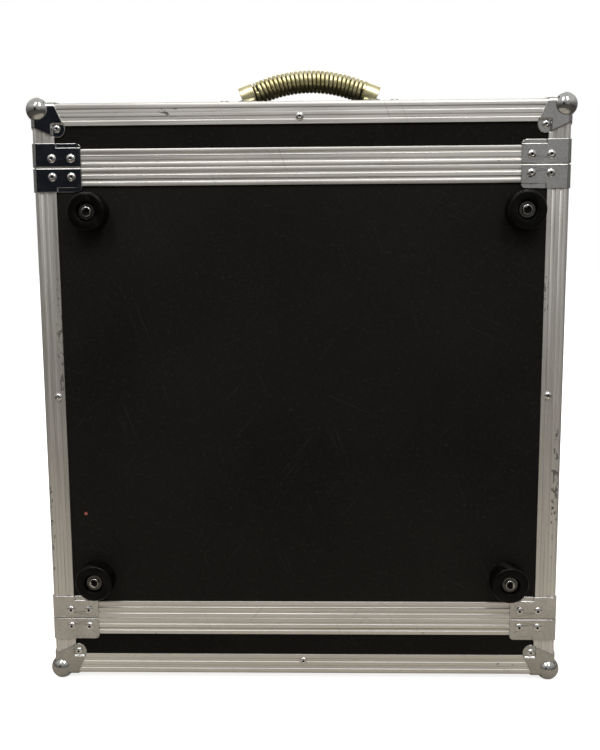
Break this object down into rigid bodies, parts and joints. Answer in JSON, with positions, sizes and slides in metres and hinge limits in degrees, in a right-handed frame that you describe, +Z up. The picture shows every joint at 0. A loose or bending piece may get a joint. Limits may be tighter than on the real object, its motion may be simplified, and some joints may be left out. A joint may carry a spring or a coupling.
{
  "type": "rack case",
  "caption": "Upright aluminium-edged rack case with lift-off front and rear lids, rubber feet, ball corners, recessed turn latches and a sprung handle.",
  "frame": {"origin": "centre of the bounding box at the floor, under the ball corners of the rear lid", "axes": "+X to the right of the case seen from its feet, +Y from the feet towards the opposite face, +Z up from the rear lid to the front lid with the handle"},
  "size_m": [0.5424, 0.1779, 0.6412],
  "materials": {
    "black_laminate": "plywood under a finely textured black laminate",
    "aluminium_section": "ribbed, natural, scuffed",
    "plated_steel": "bright zinc or nickel plating, a little dull",
    "fastener_steel": "plated steel rivets and screws",
    "black_rubber": "moulded, satin",
    "grip_rubber": "dark, hidden inside the spring",
    "grey_foam": "soft dark foam",
    "yellow_zinc": "yellow passivated zinc plating, olive gold",
    "rail_black": "black powder coat",
    "latch_steel": "zinc plated"
  },
  "bodies": {
    "rear_lid": {"rear_lid_panel": "black_laminate", "rear_lid_walls": "black_laminate", "rear_lid_edge_extrusions": "aluminium_section", "rear_lid_rim": "aluminium_section", "rear_lid_ball_corners": "plated_steel", "rear_lid_rim_brackets": "plated_steel", "rear_lid_rivets": "fastener_steel", "rear_lid_latch_dishes": "plated_steel", "rear_lid_foam": "grey_foam"},
    "case_body": {"bottom_panel": "black_laminate", "top_panel": "black_laminate", "left_panel": "black_laminate", "right_panel": "black_laminate", "body_edge_extrusions": "aluminium_section", "body_front_rim": "aluminium_section", "body_rear_rim": "aluminium_section", "body_rim_brackets": "plated_steel", "body_rivets": "fastener_steel", "body_latch_dishes": "plated_steel", "rubber_feet": "black_rubber", "foot_washers": "fastener_steel", "foot_screws": "fastener_steel", "rail_bolts": "fastener_steel", "front_rail_left": "rail_black", "front_rail_right": "rail_black", "rear_rail_left": "rail_black", "rear_rail_right": "rail_black"},
    "front_lid": {"front_lid_panel": "black_laminate", "front_lid_walls": "black_laminate", "front_lid_edge_extrusions": "aluminium_section", "front_lid_rim": "aluminium_section", "front_lid_ball_corners": "plated_steel", "front_lid_rim_brackets": "plated_steel", "front_lid_rivets": "fastener_steel", "front_lid_latch_dishes": "plated_steel", "front_lid_foam": "grey_foam", "handle_brackets": "plated_steel", "handle_straps": "plated_steel", "handle_core": "grip_rubber", "handle_ferrules": "yellow_zinc", "handle_spring": "yellow_zinc", "handle_bolts": "fastener_steel"},
    "latch_cam_left_front": {"latch_cam_left_front": "latch_steel"},
    "latch_wing_a_left_front": {"latch_wing_a_left_front": "latch_steel"},
    "latch_wing_b_left_front": {"latch_wing_b_left_front": "latch_steel"},
    "latch_hook_left_front": {"latch_hook_left_front": "latch_steel"},
    "latch_cam_right_front": {"latch_cam_right_front": "latch_steel"},
    "latch_wing_a_right_front": {"latch_wing_a_right_front": "latch_steel"},
    "latch_wing_b_right_front": {"latch_wing_b_right_front": "latch_steel"},
    "latch_hook_right_front": {"latch_hook_right_front": "latch_steel"},
    "latch_cam_left_rear": {"latch_cam_left_rear": "latch_steel"},
    "latch_wing_a_left_rear": {"latch_wing_a_left_rear": "latch_steel"},
    "latch_wing_b_left_rear": {"latch_wing_b_left_rear": "latch_steel"},
    "latch_hook_left_rear": {"latch_hook_left_rear": "latch_steel"},
    "latch_cam_right_rear": {"latch_cam_right_rear": "latch_steel"},
    "latch_wing_a_right_rear": {"latch_wing_a_right_rear": "latch_steel"},
    "latch_wing_b_right_rear": {"latch_wing_b_right_rear": "latch_steel"},
    "latch_hook_right_rear": {"latch_hook_right_rear": "latch_steel"}
  },
  "joints": [
    {"name": "body_lift", "type": "slide", "parent": "rear_lid", "child": "case_body", "axis": [0, 0, 1], "range_m": [0, 0.08]},
    {"name": "front_lid_lift", "type": "slide", "parent": "case_body", "child": "front_lid", "axis": [0, 0, 1], "range_m": [0, 0.08]},
    {"name": "turn_left_front", "type": "hinge", "parent": "case_body", "child": "latch_cam_left_front", "pos_m": [-0.265, 0.00525, 0.5117], "axis": [-1, 0, 0], "range_deg": [0, 180]},
    {"name": "fold_a_left_front", "type": "hinge", "parent": "latch_cam_left_front", "child": "latch_wing_a_left_front", "pos_m": [-0.26235, 0.00325, 0.5117], "axis": [0, 0, -1], "range_deg": [0, 90]},
    {"name": "fold_b_left_front", "type": "hinge", "parent": "latch_cam_left_front", "child": "latch_wing_b_left_front", "pos_m": [-0.26235, 0.00725, 0.5117], "axis": [0, 0, 1], "range_deg": [0, 90]},
    {"name": "hook_left_front", "type": "hinge", "parent": "case_body", "child": "latch_hook_left_front", "pos_m": [-0.25435, 0.00525, 0.4937], "axis": [0, 1, 0], "range_deg": [0, 4]},
    {"name": "turn_right_front", "type": "hinge", "parent": "case_body", "child": "latch_cam_right_front", "pos_m": [0.265, 0.00525, 0.5117], "axis": [1, 0, 0], "range_deg": [0, 180]},
    {"name": "fold_a_right_front", "type": "hinge", "parent": "latch_cam_right_front", "child": "latch_wing_a_right_front", "pos_m": [0.26235, 0.00725, 0.5117], "axis": [0, 0, -1], "range_deg": [0, 90]},
    {"name": "fold_b_right_front", "type": "hinge", "parent": "latch_cam_right_front", "child": "latch_wing_b_right_front", "pos_m": [0.26235, 0.00325, 0.5117], "axis": [0, 0, 1], "range_deg": [0, 90]},
    {"name": "hook_right_front", "type": "hinge", "parent": "case_body", "child": "latch_hook_right_front", "pos_m": [0.25435, 0.00525, 0.4937], "axis": [0, -1, 0], "range_deg": [0, 4]},
    {"name": "turn_left_rear", "type": "hinge", "parent": "case_body", "child": "latch_cam_left_rear", "pos_m": [-0.265, 0.00525, 0.0937], "axis": [-1, 0, 0], "range_deg": [0, 180]},
    {"name": "fold_a_left_rear", "type": "hinge", "parent": "latch_cam_left_rear", "child": "latch_wing_a_left_rear", "pos_m": [-0.26235, 0.00725, 0.0937], "axis": [0, 0, 1], "range_deg": [0, 90]},
    {"name": "fold_b_left_rear", "type": "hinge", "parent": "latch_cam_left_rear", "child": "latch_wing_b_left_rear", "pos_m": [-0.26235, 0.00325, 0.0937], "axis": [0, 0, -1], "range_deg": [0, 90]},
    {"name": "hook_left_rear", "type": "hinge", "parent": "case_body", "child": "latch_hook_left_rear", "pos_m": [-0.25435, 0.00525, 0.1117], "axis": [0, -1, 0], "range_deg": [0, 4]},
    {"name": "turn_right_rear", "type": "hinge", "parent": "case_body", "child": "latch_cam_right_rear", "pos_m": [0.265, 0.00525, 0.0937], "axis": [1, 0, 0], "range_deg": [0, 180]},
    {"name": "fold_a_right_rear", "type": "hinge", "parent": "latch_cam_right_rear", "child": "latch_wing_a_right_rear", "pos_m": [0.26235, 0.00325, 0.0937], "axis": [0, 0, 1], "range_deg": [0, 90]},
    {"name": "fold_b_right_rear", "type": "hinge", "parent": "latch_cam_right_rear", "child": "latch_wing_b_right_rear", "pos_m": [0.26235, 0.00725, 0.0937], "axis": [0, 0, -1], "range_deg": [0, 90]},
    {"name": "hook_right_rear", "type": "hinge", "parent": "case_body", "child": "latch_hook_right_rear", "pos_m": [0.25435, 0.00525, 0.1117], "axis": [0, 1, 0], "range_deg": [0, 4]}
  ],
  "couplings": [
    {"joint": "hook_left_front", "follows": "turn_left_front", "ratio": 0.022222},
    {"joint": "hook_right_front", "follows": "turn_right_front", "ratio": 0.022222},
    {"joint": "hook_left_rear", "follows": "turn_left_rear", "ratio": 0.022222},
    {"joint": "hook_right_rear", "follows": "turn_right_rear", "ratio": 0.022222}
  ]
}
